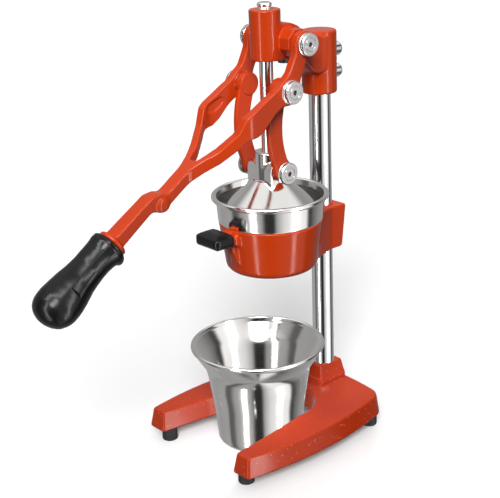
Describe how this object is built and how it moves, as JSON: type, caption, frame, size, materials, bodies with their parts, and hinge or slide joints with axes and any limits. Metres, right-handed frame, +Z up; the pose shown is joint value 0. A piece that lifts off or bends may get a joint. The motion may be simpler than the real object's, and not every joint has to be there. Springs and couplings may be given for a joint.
{
  "type": "citrus press",
  "caption": "Upright manual citrus press: cast U base, chromed column, forked lever with twin links driving a steel press cone into a strainer bowl, over a flared steel cup.",
  "frame": {"origin": "on the press axis (guide rod, press cone and strainer bowl) at table level", "axes": "+Z up along the press axis, -Y towards the user and the lever's grip, +Y towards the column, X across the machine along the lever's pivot"},
  "size_m": [0.1952, 0.4165, 0.501],
  "materials": {
    "gloss_enamel": "thick glossy orange-red enamel on cast metal",
    "speckled_enamel": "glossy brick-red enamel with fine pale specks on cast metal",
    "polished_chrome": "mirror chrome plate",
    "stainless": "polished stainless steel with faint spin marks",
    "satin_steel": "turned and polished steel",
    "dull_steel": "unpolished stainless on the inside surfaces",
    "zinc_steel": "zinc plated steel fastener",
    "black_oxide": "black oxide steel",
    "black_plastic": "semi-gloss moulded black plastic",
    "black_gloss_plastic": "glossy moulded black plastic",
    "rubber_black": "matt black rubber",
    "bush_brass": "turned bronze bush"
  },
  "bodies": {
    "frame": {"base_casting": "speckled_enamel", "rubber_feet": "rubber_black", "foot_screws": "zinc_steel", "column": "polished_chrome", "column_insert": "zinc_steel", "column_bolt": "zinc_steel", "column_washer": "zinc_steel", "head_casting": "gloss_enamel", "head_clamp_bolts": "polished_chrome", "guide_bush": "bush_brass", "pivot_shaft": "zinc_steel", "pivot_lock_screw": "black_oxide", "pivot_spacers": "black_oxide", "lever_pivot_knobs": "satin_steel", "strainer_holder": "gloss_enamel", "holder_set_screws": "black_oxide", "holder_grip": "black_plastic", "holder_grip_screw": "zinc_steel", "strainer_bowl": "stainless", "sieve_plate": "dull_steel", "strainer_dome": "dull_steel"},
    "lever": {"lever_fork": "gloss_enamel", "lever_grip": "black_gloss_plastic", "grip_screw": "zinc_steel", "link_pivot_knobs": "satin_steel", "knob_washers": "satin_steel"},
    "press": {"press_cone": "stainless", "guide_rod": "polished_chrome", "rod_cap": "polished_chrome", "press_pivot_knobs": "satin_steel", "link_spacers": "stainless"},
    "link_left": {"link_left": "gloss_enamel"},
    "link_right": {"link_right": "gloss_enamel"},
    "cup": {"juice_cup": "stainless"}
  },
  "joints": [
    {"name": "lever_swing", "type": "hinge", "parent": "frame", "child": "lever", "pos_m": [0, 0.0188, 0.4587], "axis": [1, 0, 0], "range_deg": [-75, 0]},
    {"name": "press_slide", "type": "slide", "parent": "frame", "child": "press", "axis": [0, 0, 1], "range_m": [0, 0.0627]},
    {"name": "link_left_pivot", "type": "hinge", "parent": "press", "child": "link_left", "pos_m": [0, -0.0026, 0.3205], "axis": [1, 0, 0], "range_deg": [0, 18.1]},
    {"name": "link_right_pivot", "type": "hinge", "parent": "press", "child": "link_right", "pos_m": [0, -0.0026, 0.3205], "axis": [1, 0, 0], "range_deg": [0, 18.1]},
    {"name": "cup_slide", "type": "slide", "parent": "frame", "child": "cup", "axis": [0, -1, 0], "range_m": [0, 0.2]}
  ],
  "couplings": [
    {"joint": "press_slide", "follows": "lever_swing", "m_per_rad": -0.047841},
    {"joint": "link_left_pivot", "follows": "lever_swing", "ratio": -0.24087},
    {"joint": "link_right_pivot", "follows": "lever_swing", "ratio": -0.24087}
  ]
}
